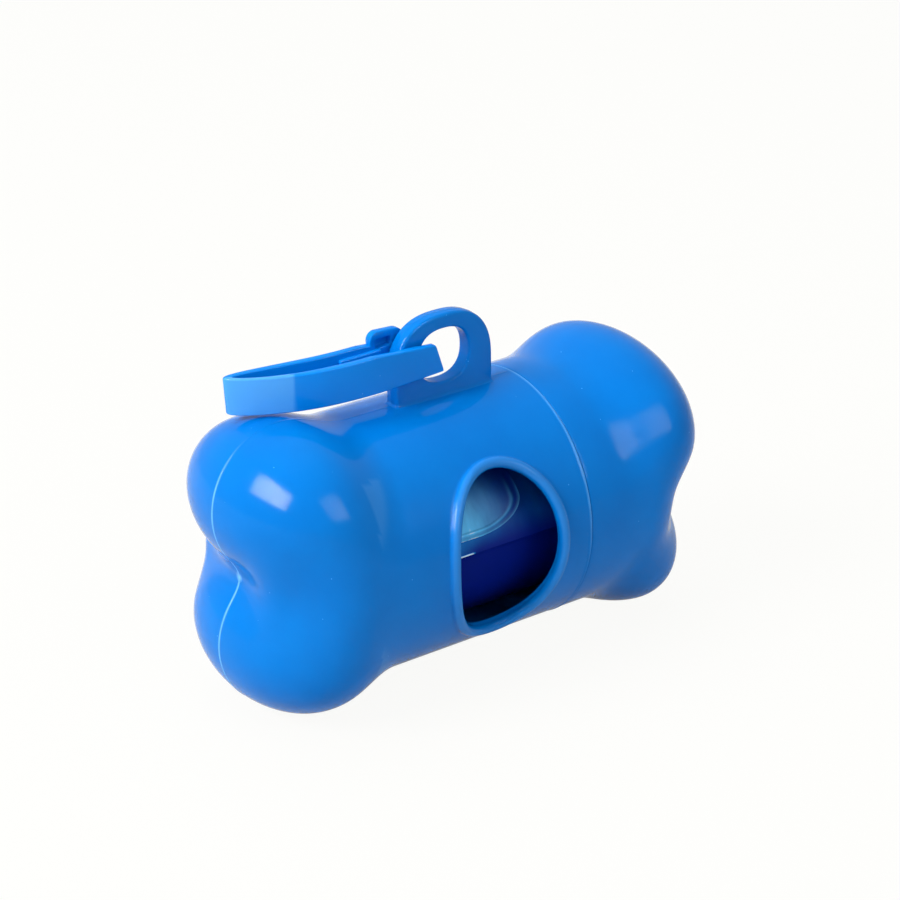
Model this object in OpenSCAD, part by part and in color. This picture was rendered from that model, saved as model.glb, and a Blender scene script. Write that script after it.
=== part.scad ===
// Dog poop bag dispenser: a blow-moulded bone in two halves, a moulded eye with a
// folding strap clip, and a roll of bags that unwinds through the oval hole.
// Millimetres. X runs along the bone, towards the cap. -Y faces the dispensing hole.
// +Z is up. The origin is the bottom centre of the bounding box.

/* [Bone] */
// Outer radius of the straight shaft
shaft_r = 20; // [18:0.5:24]
// Wall of the two blow-moulded halves
wall = 1.4; // [1.1:0.1:1.8]
// Length of the blend between an end and the shaft
shaft_blend = 3.8; // [2:0.2:6]
// Length of the blend in the notch between two lobes
notch_blend = 5.3; // [3:0.2:7]
// X of the shaft's rounded end inside each pair of lobes
shaft_end = 33; // [30:0.5:36]
// Radius of that rounded end
shaft_end_r = 7; // [4:0.5:9]

/* [Case end] */
// Distance of the lobe centres from the middle, along the bone
case_lobe_x = 29.2; // [27:0.2:32]
// Height of the lobe centres above the axis
case_lobe_z = 10.5; // [9:0.1:12]
// Half length of a lobe along the bone
case_lobe_half_x = 11.6; // [10:0.1:13]
// Half depth of a lobe, front to back
case_lobe_half_y = 17.8; // [16:0.1:19.5]
// Half height of a lobe
case_lobe_half_z = 12.1; // [11:0.1:13]

/* [Cap] */
// X of the seam between case and cap
seam_x = 13.6; // [13:0.1:15]
// Open line of the seam
seam_gap = 0.15; // [0.1:0.05:0.3]
// Turn of the cap on its neck, as it was pushed on
cap_turn = 9.7; // [0:0.1:15]
// Distance of the lobe centres from the middle, along the bone
cap_lobe_x = 30.8; // [29:0.2:33]
// Height of the lobe centres above the axis
cap_lobe_z = 10.4; // [9:0.1:12]
// Half length of a lobe along the bone
cap_lobe_half_x = 10.5; // [9.5:0.1:12]
// Half depth of a lobe, front to back
cap_lobe_half_y = 18.5; // [16:0.1:19.5]
// Half height of a lobe
cap_lobe_half_z = 12.1; // [11:0.1:13]

/* [Neck] */
// Length of the case's neck beyond the seam
neck_len = 7.5; // [6:0.5:9]
// Wall of the neck
neck_wall = 1.2; // [1:0.1:1.5]
// Depth of the sized band inside the cap's mouth
band_depth = 0.05; // [0.05:0.01:0.2]
// Radial clearance of the cap on the neck's two beads
neck_fit = 0.06; // [0.03:0.01:0.1]
// Height of the two round beads on the neck
bead_h = 0.25; // [0.15:0.05:0.35]
// Width of a bead at its foot
bead_w = 2; // [1:0.1:2.4]
// Width of a bead's crest
bead_crest = 0.6; // [0.3:0.1:1]

/* [Dispensing hole] */
// X of the hole's middle
hole_x = -1.9; // [-4:0.1:0]
// Angle of the hole's middle, from straight up towards the front
hole_turn = 89; // [80:0.5:95]
// Half width of the rim's centre line, along the bone
hole_half_w = 10.2; // [8:0.2:11]
// Half height of the rim's centre line, along the wall
hole_half_h = 14.8; // [10:0.2:16]
// Radius of the rolled rim
rim_r = 0.85; // [0.6:0.05:1.4]
// Height of the rim's centre above the outer wall
rim_lift = -0.15; // [-0.6:0.05:0]

/* [Eye] */
// Thickness of the eye plate
eye_t = 2.8; // [2:0.1:3.4]
// Half width of the plate, along the bone
eye_half_w = 9; // [8:0.1:10]
// Height of the plate's top above the axis
eye_top = 32.8; // [31:0.1:35]
// Height of the eye hole's middle above the axis
eye_z = 26.2; // [25:0.1:27]
// Half width of the eye hole
eye_hole_half_w = 4.6; // [4.2:0.1:5.5]
// Half height of the eye hole
eye_hole_half_h = 4.2; // [4:0.1:4.4]
// Width of the small chamfer round the plate's faces
eye_chamfer = 0.4; // [0.2:0.1:0.6]

/* [Strap clip] */
// Reach of the strap from the eye's middle to its folded end
strap_len = 33.4; // [30:0.2:36]
// Distance of the two arms' ends from the eye's middle
arm_end = 2.2; // [2:0.1:3]
// Height of the strap's band
strap_h = 5.8; // [4.5:0.1:6.2]
// Thickness of the strap's band
strap_t = 1.3; // [1:0.1:1.6]
// Clearance between strap and eye plate
strap_fit = 0.35; // [0.2:0.05:0.6]
// Height of the band's middle above the eye hole's middle
strap_lift = 1.2; // [0.8:0.1:1.6]
// Fall of the strap towards its folded end, in degrees
strap_fall = 3.4; // [2.5:0.1:3.8]
// Sideways drift of the fold to the back, as a share of the strap's length past the eye
strap_drift = 0.28; // [0:0.02:0.36]
// Fall of the arms' top edge towards their ends, for each millimetre
arm_fall = 0.11; // [0:0.01:0.16]
// Distance from the eye's middle where that fall starts
fall_u = 13; // [8:0.5:16]
// Length of the strap's rounded, folded end
fold_len = 13; // [8:0.5:16]
// Slit between the two arms at the living hinge
fold_slit = 0.12; // [0.08:0.02:0.2]
// Slant of the free arm's end, along its height
tip_slant = 1.6; // [0:0.1:2.4]
// Distance of the tongue from the eye's middle
tongue_u = 2.3; // [2.1:0.1:2.8]
// Width of the tongue that passes through the eye
tongue_w = 1.2; // [0.8:0.1:1.3]
// Height of that tongue
tongue_h = 2.6; // [2:0.1:3]
// Distance of the thumb tab on the fixed arm from the eye's middle
tab_u = 4.9; // [4:0.1:6]
// Length of the tab
tab_len = 6.2; // [5:0.1:8]
// Height of the tab above the arm's top edge
tab_h = 2; // [1.4:0.1:3]
// Cut corner of the tab
tab_corner = 0.9; // [0.4:0.1:1.4]
// Width of the tab's outer post, beside its pocket
tab_post = 1.4; // [1:0.1:2]
// Length of the pocket
pocket_len = 2.4; // [1.6:0.1:3]
// Height of the pocket
pocket_h = 1.4; // [1:0.1:2]
// Drop of the pocket's middle below the arm's top edge
pocket_drop = 0.1; // [0:0.1:1]
// Web left behind the pocket
pocket_web = 0.45; // [0.4:0.05:0.8]
// Length of the ledge inside the fixed arm, past the eye plate
ledge_len = 6.5; // [5:0.5:10]
// Depth of the ledge
ledge_t = 0.7; // [0.4:0.1:1]
// Height of the ledge
ledge_h = 1.2; // [0.8:0.1:2]
// Drop of the ledge below the band's top edge
ledge_drop = 1; // [0.5:0.1:2]

/* [Bag roll] */
// Outer radius of the wound roll
roll_r = 13.6; // [11:0.2:14]
// Width of the roll, along the bone
roll_w = 58; // [50:1:60]
// Step of the film where the wound bags end
film_step = 0.5; // [0.3:0.1:0.8]
// Air between the wound bags and the first bag
film_gap = 0.08; // [0.05:0.01:0.2]
// Thickness of the first bag's folded layers
lead_t = 0.4; // [0.3:0.05:0.6]
// Part of a turn that the first bag covers, in degrees
lead_turn = 300; // [200:10:330]
// Radius of the core's bore
core_bore_r = 4.5; // [3.5:0.5:6]
// Wall of the cardboard core
core_wall = 1; // [0.8:0.1:1.5]
// Length of the core beyond each side of the film
core_proud = 0.6; // [0:0.1:1]
// Clearance under the roll, where it lies in the neck
roll_fit = 0.25; // [0.15:0.05:0.5]

/* [Facets] */
// Steps around the bone
around = 48; // [36:4:64]
// Steps from the shaft to an end's notch
along = 13; // [10:1:18]
// Steps around the rim's outline
rim_steps = 48; // [36:4:60]
// Sides of the rolled rim's round section: an odd number keeps its corners off the cut
rim_sides = 11; // [7:2:15]
// Steps around the eye hole, and half round the plate's top
eye_steps = 48; // [32:4:64]

/* [Hidden] */

blue = "#0a78d8";
navy = "#0f2f78";
card = "#c9a878";
$fn = 64;
// Halvings that find a surface along a ray
halvings = 14;
// Cutters pass the faces they open by this much, and fused pieces run this far into each other
past = 1;

// An end is its lobe centre [x, z] and its lobe half sizes [x, y, z].
case_end = [[case_lobe_x, case_lobe_z], [case_lobe_half_x, case_lobe_half_y, case_lobe_half_z]];
cap_end = [[cap_lobe_x, cap_lobe_z], [cap_lobe_half_x, cap_lobe_half_y, cap_lobe_half_z]];

// The neck, from its bore outwards.
inner_r = shaft_r - wall;
band_r = inner_r - band_depth;
neck_bead_r = band_r - neck_fit;
neck_r = neck_bead_r - bead_h;
neck_bore_r = neck_r - neck_wall;
neck_end = seam_x + neck_len;
// The beads stand at these shares of the neck's length.
bead_at = [0.45, 0.85];
// The tubes inside a mouth run into the wall to this radius.
fused_r = inner_r + wall / 2;
// Length of the shoulder that joins the neck to the case's wall
shoulder_len = 3;
// Step back of that shoulder from the seam
shoulder_back = 0.4;
// The sized band goes this far past the neck's end.
band_past = 0.5;
mouth_x = seam_x + seam_gap;

// Rays to an end start this far inside the shaft.
ray_x = 15.5;
// Beyond this distance no ray is still inside the bone.
ray_far = 60;

function smooth_min(a, b, k) =
    let (h = max(0, min(1, 0.5 + 0.5 * (b - a) / k)))
    b * (1 - h) + a * h - k * h * (1 - h);

// Signed depth in a lobe: below zero inside it.
function lobe(p, end, side) =
    (norm([(p.x - end[0].x) / end[1].x, p.y / end[1].y, (side * p.z - end[0].y) / end[1].z]) - 1)
    * min(end[1]);

// Signed depth in the shaft, a cylinder with a rounded end.
function shaft(p) =
    let (r = norm([p.y, p.z]) - shaft_r + shaft_end_r, x = p.x - shaft_end + shaft_end_r)
    min(max(r, x), 0) + norm([max(r, 0), max(x, 0)]) - shaft_end_r;

function bone(p, end) =
    smooth_min(smooth_min(lobe(p, end, 1), lobe(p, end, -1), notch_blend), shaft(p), shaft_blend);

// Distance along a ray to the surface that lies depth below the bone's skin.
function reach(dir, end, depth, low, high, left) =
    let (mid = (low + high) / 2)
    left == 0 ? mid :
    bone([ray_x, 0, 0] + dir * mid, end) < -depth
        ? reach(dir, end, depth, mid, high, left - 1)
        : reach(dir, end, depth, low, mid, left - 1);

// One ring of skin points on rays that lean forward by lean degrees.
function ring(end, depth, lean) =
    [for (j = [0 : around - 1])
        let (a = 360 * j / around, dir = [sin(lean), cos(lean) * cos(a), cos(lean) * sin(a)])
        [ray_x, 0, 0] + dir * reach(dir, end, depth, 0, ray_far, halvings)];

function flat_ring(x, r) =
    [for (j = [0 : around - 1]) let (a = 360 * j / around) [x, r * cos(a), r * sin(a)]];

// Rings from the mouth to the notch, where they end in a single point.
function skin(end, depth, mouth_x) =
    concat([flat_ring(mouth_x, shaft_r - depth)],
        [for (i = [0 : along - 1]) ring(end, depth, 90 * i / along)]);

function notch_point(end, depth) =
    [ray_x + reach([1, 0, 0], end, depth, 0, ray_far, halvings), 0, 0];

// A point of the cap's skin, turned as the cap is.
function turned(p) =
    [p.x, p.y * cos(cap_turn) - p.z * sin(cap_turn), p.y * sin(cap_turn) + p.z * cos(cap_turn)];

function flatten(lists) = [for (list = lists) for (item = list) item];

// Triangles of the band between ring i and ring k of a stack of rings.
function band_faces(i, k, n) =
    [for (j = [0 : n - 1])
        let (a = i * n + j, b = i * n + (j + 1) % n, c = k * n + (j + 1) % n, d = k * n + j)
        each [[a, b, c], [a, c, d]]];

// The bounding box, read from both skins and the rim: its bottom centre is the origin.
case_skin = flatten(skin(case_end, 0, seam_x));
cap_skin = [for (p = flatten(skin(cap_end, 0, mouth_x))) turned(p)];
mid_x = (max([for (p = cap_skin) p.x]) - max([for (p = case_skin) p.x])) / 2;
mid_y = (max([for (p = cap_skin) p.y]) - shaft_r - rim_lift - rim_r) / 2;
base_z = -min([for (p = concat(case_skin, cap_skin)) p.z]);

// One half of the bone, open at its mouth: the outer skin, then the inner one.
module half_shell(end, open_x) {
    outer = skin(end, 0, open_x);
    inner = skin(end, wall, open_x);
    n = around;
    rings = along + 1;
    points = concat(flatten(outer), flatten(inner), [notch_point(end, 0), notch_point(end, wall)]);
    outer_tip = 2 * rings * n;
    inner_tip = outer_tip + 1;
    faces = concat(
        [for (i = [0 : rings - 2]) each band_faces(i + 1, i, n)],
        [for (i = [0 : rings - 2]) each band_faces(rings + i, rings + i + 1, n)],
        band_faces(0, rings, n),
        [for (j = [0 : n - 1]) [outer_tip, (rings - 1) * n + (j + 1) % n, (rings - 1) * n + j]],
        [for (j = [0 : n - 1])
            [inner_tip, (2 * rings - 1) * n + j, (2 * rings - 1) * n + (j + 1) % n]]);
    polyhedron(points, faces, convexity = 6);
}

// A tube along the bone's axis from x0 to x1.
module axis_tube(x0, x1, r_out, r_in) {
    translate([x0, 0, 0])
    rotate([0, 90, 0])
    difference() {
        cylinder(h = x1 - x0, r = r_out);
        translate([0, 0, -past]) cylinder(h = x1 - x0 + 2 * past, r = r_in);
    }
}

// Point of the hole's oval on the wall: t goes round it, r is the distance from the axis.
function hole_edge(t, r) =
    let (x = hole_x + hole_half_w * cos(t),
        turn = hole_turn - hole_half_h * sin(t) / shaft_r * 180 / PI)
    [x, -r * sin(turn), r * cos(turn)];

// Cutter through the wall, with sides that point at the axis. Its flat ends clear the wall's curve.
hole_past = 3;
module hole_cutter(r_in, r_out) {
    n = rim_steps;
    angles = [for (j = [0 : n - 1]) 360 * (j + 1 / 2) / n];
    points = concat([for (t = angles) hole_edge(t, r_in)],
        [for (t = angles) hole_edge(t, r_out)],
        [hole_middle(r_in), hole_middle(r_out)]);
    faces = concat(band_faces(1, 0, n),
        [for (j = [0 : n - 1]) [2 * n, j, (j + 1) % n]],
        [for (j = [0 : n - 1]) [2 * n + 1, n + (j + 1) % n, n + j]]);
    polyhedron(points, faces, convexity = 4);
}

function hole_middle(r) = [hole_x, -r * sin(hole_turn), r * cos(hole_turn)];

// The rolled rim: a round bead that follows the oval on the wall.
module rim() {
    n = rim_steps;
    sides = rim_sides;
    r = shaft_r + rim_lift;
    near = 90 / n;
    points = [for (i = [0 : n - 1])
        let (t = 360 * i / n, p = hole_edge(t, r), ahead = hole_edge(t + near, r) - hole_edge(t - near, r),
            out = [0, p.y, p.z] / norm([p.y, p.z]), along_rim = ahead / norm(ahead),
            side = cross(along_rim, out))
        for (j = [0 : sides - 1])
            p + rim_r * (cos(360 * j / sides) * out + sin(360 * j / sides) * side)];
    faces = [for (i = [0 : n - 1]) for (j = [0 : sides - 1])
        let (a = i * sides + j, b = i * sides + (j + 1) % sides,
            c = ((i + 1) % n) * sides + (j + 1) % sides, d = ((i + 1) % n) * sides + j)
        each [[a, c, b], [a, d, c]]];
    polyhedron(points, faces, convexity = 6);
}

// Corner of a superellipse: a rounded, slightly square oval.
function squared(v, power) = sign(v) * pow(abs(v), 2 / power);

function oval(half_w, half_h, power, steps, turn) =
    [for (j = [0 : steps])
        let (a = turn * j / steps)
        [half_w * squared(cos(a), power), half_h * squared(sin(a), power)]];

// Powers of the plate's top and of the eye hole: 2 is a plain ellipse.
plate_power = 2.5;
hole_power = 2.4;

// The plate's outline: straight sides and a rounded top, drawn in by inset.
module eye_outline(inset) {
    shoulder = eye_top - eye_half_w;
    half_w = eye_half_w - inset;
    top = [for (p = oval(half_w, half_w, plate_power, eye_steps / 2, 180)) p + [0, shoulder]];
    polygon(concat([[-half_w, fused_r], [half_w, fused_r]], top));
}

// The eye: a plate in the mould's parting plane, with an oval hole across it.
module eye() {
    half = eye_t / 2;
    rotate([90, 0, 0])
    difference() {
        union() {
            translate([0, 0, -half + eye_chamfer])
            linear_extrude(eye_t - 2 * eye_chamfer) eye_outline(0);
            translate([0, 0, -half]) linear_extrude(eye_t) eye_outline(eye_chamfer);
        }
        translate([0, eye_z, -half - past])
        linear_extrude(eye_t + 2 * past)
        polygon(oval(eye_hole_half_w, eye_hole_half_h, hole_power, eye_steps - 1, 360 - 360 / eye_steps));
    }
}

// The neck: a shoulder fused into the wall, a thinner tube and two round beads.
module neck() {
    axis_tube(seam_x - shoulder_len, seam_x - shoulder_back, fused_r, neck_bore_r);
    axis_tube(seam_x - 2 * shoulder_back, neck_end, neck_r, neck_bore_r);
    sunk = neck_wall / 2;
    for (share = bead_at)
        translate([seam_x + share * neck_len, 0, 0])
        rotate([0, 90, 0])
        rotate_extrude()
        translate([neck_r, 0])
        polygon([[-sunk, -bead_w / 2], [0, -bead_w / 2], [bead_h, -bead_crest / 2],
            [bead_h, bead_crest / 2], [0, bead_w / 2], [-sunk, bead_w / 2]]);
}

// The part stands on its lower lobes, with the bounding box's bottom centre at the origin.
module place() {
    translate([-mid_x, -mid_y, base_z]) children();
}

module case_body() {
    color(blue)
    place()
    union() {
        difference() {
            mirror([1, 0, 0]) half_shell(case_end, -seam_x);
            hole_cutter(inner_r - hole_past, shaft_r + hole_past);
        }
        rim();
        eye();
        neck();
    }
}

module bone_cap() {
    color(blue)
    place()
    rotate([cap_turn, 0, 0])
    union() {
        half_shell(cap_end, mouth_x);
        axis_tube(mouth_x, neck_end + band_past, fused_r, band_r);
    }
}

// The strap's frame: the eye hole's middle, tipped by the strap's fall, with u to the folded end.
module strap_frame() {
    place()
    translate([0, 0, eye_z])
    rotate([0, -strap_fall, 0])
    mirror([1, 0, 0])
    children();
}

// The arms stand this far from the strap's middle line beside the eye.
arm_y = eye_t / 2 + strap_fit + strap_t / 2;
// The strap leaves the eye plate's edge here.
bend_u = eye_half_w;
// The arms draw together from here.
taper_u = strap_len - fold_len;

// Drift of the strap's middle line towards the back: it bends evenly from the eye to the fold.
function drift(u) = let (t = max(0, u - bend_u)) strap_drift * t * t / (strap_len - bend_u);

// Bottom and top edges of the arms.
band_low = strap_lift - strap_h / 2;
function band_top(u) = strap_lift + strap_h / 2 - arm_fall * max(0, fall_u - u);

// Half the spread of the arms' outer faces.
function spread(u) =
    let (s = max(0, min(1, (u - taper_u) / fold_len)))
    (arm_y + strap_t / 2) * sqrt(max(0, 1 - s * s));

// The same for the inner faces, which meet one band thickness before the fold.
function inner_spread(u) =
    let (s = max(0, min(1, (u - taper_u) / (fold_len - strap_t))))
    (arm_y - strap_t / 2) * sqrt(max(0, 1 - s * s));

// Stations along an arm: even beside the eye, closer at the fold.
station_step = 2;
fold_turn = 7.5;
function stations(from, last) =
    concat([for (u = [from : station_step : taper_u - station_step / 2]) u],
        [for (a = [0 : fold_turn : 90]) taper_u + (last - taper_u) * sin(a)]);

// Plan outline of one arm, side -1 at the front and 1 at the back, up to the fold's slit.
module arm_plan(side, from) {
    outside = [for (u = stations(from, strap_len)) [u, drift(u) + side * max(fold_slit / 2, spread(u))]];
    inside = [for (u = stations(from, strap_len - strap_t))
        [u, drift(u) + side * max(fold_slit / 2, inner_spread(u))]];
    polygon(concat(outside, [for (i = [len(inside) - 1 : -1 : 0]) inside[i]]));
}

// A side view in u and height, run through the whole width of the strap.
module across_strap() {
    rotate([90, 0, 0]) translate([0, 0, -strap_len]) linear_extrude(2 * strap_len) children();
}

module arm(side, from) {
    end_u = strap_len + past;
    intersection() {
        translate([0, 0, band_low]) linear_extrude(strap_h) arm_plan(side, from);
        across_strap()
        polygon([[from - past, band_low - past], [end_u, band_low - past], [end_u, band_top(end_u)],
            [fall_u, band_top(fall_u)], [from - past, band_top(from - past)]]);
    }
}

// The fixed arm, behind the eye: a ledge inside it, and a thumb tab with a pocket on its end.
module clip_band() {
    top = strap_lift + strap_h / 2;
    last_u = tab_u + tab_len;
    pocket_end = last_u - tab_post;
    middle = band_top(pocket_end) - pocket_drop;
    color(blue)
    strap_frame()
    union() {
        difference() {
            union() {
                arm(1, arm_end);
                intersection() {
                    linear_extrude(top + tab_h) arm_plan(1, arm_end);
                    across_strap()
                    polygon([[tab_u, 0], [last_u, 0], [last_u, band_top(last_u) + tab_h - tab_corner],
                        [last_u - tab_corner, band_top(last_u) + tab_h],
                        [tab_u + tab_corner, band_top(tab_u) + tab_h],
                        [tab_u, band_top(tab_u) + tab_h - tab_corner]]);
                }
            }
            translate([pocket_end - pocket_len, 0, middle - pocket_h / 2])
            cube([pocket_len, arm_y + strap_t / 2 - pocket_web, pocket_h]);
        }
        translate([0, 0, top - ledge_drop - ledge_h]) linear_extrude(ledge_h) ledge_plan();
    }
}

// The ledge starts clear of the eye plate's edge, and follows the arm.
module ledge_plan() {
    from = bend_u + 2 * strap_fit;
    us = [for (u = [from : station_step / 2 : from + ledge_len]) u];
    outside = [for (u = us) [u, drift(u) + arm_y]];
    inside = [for (i = [len(us) - 1 : -1 : 0]) [us[i], drift(us[i]) + arm_y - strap_t / 2 - ledge_t]];
    polygon(concat(outside, inside));
}

// The free arm, in front of the eye: a slanted end, and the tongue that passes through the eye.
module clip_gate() {
    lower_u = arm_end - tip_slant / 2;
    upper_u = arm_end + tip_slant / 2;
    start_u = lower_u - past;
    color(blue)
    strap_frame()
    union() {
        difference() {
            arm(-1, lower_u - past / 2);
            translate([0, 0, strap_lift - strap_h / 2])
            rotate([90, 0, 0])
            translate([0, 0, -strap_len])
            linear_extrude(2 * strap_len)
            polygon([[start_u, -past], [lower_u, -past], [lower_u, 0], [upper_u, strap_h],
                [upper_u, strap_h + past], [start_u, strap_h + past]]);
        }
        translate([tongue_u, -arm_y, -tongue_h / 2])
        cube([tongue_w, 2 * arm_y - strap_t / 2 - strap_fit, tongue_h]);
    }
}

// The first bag, wound on the others, is the widest: the roll lies in the neck's bore on it.
lead_r = roll_r + film_gap + lead_t;
roll_drop = neck_bore_r - lead_r - roll_fit;

module roll_frame() {
    place()
    translate([0, 0, -roll_drop])
    rotate([0, 90, 0])
    translate([0, 0, -roll_w / 2])
    children();
}

// Radius of the wound bags at angle a: one step down over a turn.
function film_r(a) = roll_r - film_step * a / 360;

// The film's outline in steps of film_turn degrees.
film_turn = 6;
function film_arc(from, to, lift) =
    [for (a = [from : film_turn : to]) (film_r(a) + lift) * [cos(a), sin(a)]];

module roll_core() {
    color(card)
    roll_frame()
    translate([0, 0, -core_proud])
    difference() {
        cylinder(h = roll_w + 2 * core_proud, r = core_bore_r + core_wall);
        translate([0, 0, -past])
        cylinder(h = roll_w + 2 * core_proud + 2 * past, r = core_bore_r);
    }
}

module bag_roll() {
    color(navy)
    roll_frame()
    difference() {
        linear_extrude(roll_w) polygon(film_arc(0, 360, 0));
        translate([0, 0, -past]) cylinder(h = roll_w + 2 * past, r = core_bore_r + core_wall);
    }
}

module leading_bag() {
    inside = film_arc(0, lead_turn, film_gap);
    outside = film_arc(0, lead_turn, film_gap + lead_t);
    color(navy)
    roll_frame()
    linear_extrude(roll_w)
    polygon(concat(outside, [for (i = [len(inside) - 1 : -1 : 0]) inside[i]]));
}

case_body();
bone_cap();
clip_band();
clip_gate();
roll_core();
bag_roll();
leading_bag();
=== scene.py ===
from math import atan2, cos, degrees, exp, hypot, pi, radians, sin, sqrt

import bmesh
import bpy
from mathutils import Matrix, Vector


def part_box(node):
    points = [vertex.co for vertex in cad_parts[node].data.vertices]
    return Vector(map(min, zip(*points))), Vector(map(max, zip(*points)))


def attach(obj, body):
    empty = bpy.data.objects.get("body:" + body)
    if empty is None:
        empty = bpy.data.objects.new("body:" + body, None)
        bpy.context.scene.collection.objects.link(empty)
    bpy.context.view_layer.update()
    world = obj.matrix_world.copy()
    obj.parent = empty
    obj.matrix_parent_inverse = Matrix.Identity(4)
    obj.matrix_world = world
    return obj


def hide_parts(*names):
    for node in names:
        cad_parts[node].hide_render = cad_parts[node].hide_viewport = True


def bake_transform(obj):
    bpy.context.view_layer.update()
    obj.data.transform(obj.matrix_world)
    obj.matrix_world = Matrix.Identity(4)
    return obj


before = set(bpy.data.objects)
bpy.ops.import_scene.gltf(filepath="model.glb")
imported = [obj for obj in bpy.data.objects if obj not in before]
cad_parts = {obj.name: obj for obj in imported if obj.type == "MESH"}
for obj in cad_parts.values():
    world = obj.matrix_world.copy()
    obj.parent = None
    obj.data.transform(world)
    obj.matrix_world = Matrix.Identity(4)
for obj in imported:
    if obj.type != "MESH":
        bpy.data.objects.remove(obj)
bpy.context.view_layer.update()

# The bone's own axis: the roll lies on it, lower by its drop in the neck. Shapes below are in
# millimetres from that axis, with x towards the cap, and placeOnAxis() moves them into the frame.
rollDrop = 2.71
coreLow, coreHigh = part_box("roll_core")
axisPoint = (coreLow + coreHigh) / 2 + Vector((0, 0, rollDrop / 1000))

camera = {
    "azimuth": -36.451, "elevation": 23.949, "roll": -0.585,
    "place": (-212.93, -290.12, 192.63),  # millimetres in the frame
    "lens": 103.86, "sensor": 36,
}

cameraData = bpy.data.cameras.new("camera")
cameraData.lens = camera["lens"]
cameraData.sensor_width = camera["sensor"]
cameraObject = bpy.data.objects.new("camera", cameraData)
bpy.context.scene.collection.objects.link(cameraObject)
cameraObject.matrix_world = (
    Matrix.Translation(Vector(camera["place"]) / 1000)
    @ Matrix.Rotation(radians(camera["azimuth"]), 4, "Z")
    @ Matrix.Rotation(radians(90 - camera["elevation"]), 4, "X")
    @ Matrix.Rotation(radians(camera["roll"]), 4, "Z")
)
bpy.context.scene.camera = cameraObject
bpy.context.scene.view_settings.view_transform = "Standard"
print("camera set")


def fade(low, high, value):
    # 0 at low, 1 at high, with a soft start and end; high may be the smaller one
    share = max(0.0, min(1.0, (value - low) / (high - low)))
    return share * share * (3 - 2 * share)


def lastInside(isInside, low, high, halvings):
    # low lies inside and high outside; both are moved close to the edge between them
    for i in range(halvings):
        mid = (low + high) / 2
        if isInside(mid):
            low = mid
        else:
            high = mid
    return low, high


def superEllipse(angle, w, h, power):
    # how far the edge of a rounded oval is from its middle
    return ((abs(cos(angle)) / w) ** power + (abs(sin(angle)) / h) ** power) ** (-1 / power)


def placeOnAxis(bm):
    bmesh.ops.transform(bm, matrix=Matrix.Translation(axisPoint) @ Matrix.Scale(0.001, 4), verts=bm.verts)


def linkObject(name, data):
    made = bpy.data.objects.new(name, data)
    bpy.context.scene.collection.objects.link(made)
    return made


def makePiece(name, bm, material, body, replaces=()):
    bmesh.ops.remove_doubles(bm, verts=bm.verts, dist=0.001)
    bmesh.ops.recalc_face_normals(bm, faces=bm.faces)
    placeOnAxis(bm)
    mesh = bpy.data.meshes.new(name)
    bm.to_mesh(mesh)
    bm.free()
    for face in mesh.polygons:
        face.use_smooth = True
    mesh.materials.append(material)
    piece = linkObject(name, mesh)
    if body:
        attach(piece, body)
    if replaces:
        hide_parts(*replaces)
    print(name, len(mesh.polygons), "faces")
    return piece


def paintPoints(piece, name, valueAt):
    # valueAt gets each point in millimetres from the bone's axis
    layer = piece.data.attributes.new(name, "FLOAT", "POINT")
    for vert, item in zip(piece.data.vertices, layer.data):
        item.value = valueAt((vert.co - axisPoint) * 1000)


def firstRow(bm, points):
    made = bmesh.ops.create_circle(bm, segments=len(points), radius=1)["verts"]
    for vert, point in zip(made, points):
        vert.co = point
    return made


def edgesOf(bm, row):
    count = len(row)
    return [bm.edges.get((row[i], row[(i + 1) % count])) for i in range(count)]


def nextRow(bm, row, points):
    # extrudes a closed row of vertices and puts the copy at the new points
    made = bmesh.ops.extrude_edge_only(bm, edges=edgesOf(bm, row))["geom"]
    fresh = {item for item in made if isinstance(item, bmesh.types.BMVert)}
    copy = []
    for vert, point in zip(row, points):
        twin = next(e.other_vert(vert) for e in vert.link_edges if e.other_vert(vert) in fresh)
        twin.co = point
        copy.append(twin)
    return copy


def loft(bm, listOfPoints, start=None):
    rows = [start or firstRow(bm, listOfPoints[0])]
    for points in listOfPoints[0 if start else 1:]:
        rows.append(nextRow(bm, rows[-1], points))
    return rows


def capRow(bm, row):
    bmesh.ops.contextual_create(bm, geom=edgesOf(bm, row))


# The bone's skin is two lobes and the shaft, blended into one surface. It is drawn in by a trim that
# leaves room for the fine ridges on it.
bone = {
    "shaftR": 20, "wall": 1.4, "shaftBlend": 3.8, "notchBlend": 5.3,
    "shaftEnd": 33, "shaftEndR": 7, "rayX": 15.5, "rayLow": 8.0, "rayHigh": 34.0, "leanSteps": 72,
    "columnStep": 2, "ridgeTurns": (-1.2, -0.6, -0.25, 0, 0.25, 0.6, 1.2), "ridge": 0.06, "ridgeTurn": 0.6,
    "trim": 0.13, "fillTo": -11, "dentHalfY": 9, "dentHalfZ": 6,
}
caseEnd = {
    "x": 29.2, "z": 10.5, "half": (11.6, 17.8, 12.1),
    "fill": 6, "dent": 0.35, "dentZ": -2, "ridge": 1,
}
capEnd = {
    "x": 30.8, "z": 10.4, "half": (10.5, 18.5, 12.1), "turn": 9.7,
    "fill": 0, "dent": 0, "dentZ": 0, "ridge": 0,
}


def smoothMin(a, b, k):
    h = max(0.0, min(1.0, 0.5 + 0.5 * (b - a) / k))
    return b * (1 - h) + a * h - k * h * (1 - h)


def lobeDepth(x, y, z, end):
    hx, hy, hz = end["half"]
    return (sqrt(((x - end["x"]) / hx) ** 2 + (y / hy) ** 2 + ((z - end["z"]) / hz) ** 2) - 1) * min(hx, hz)


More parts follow.
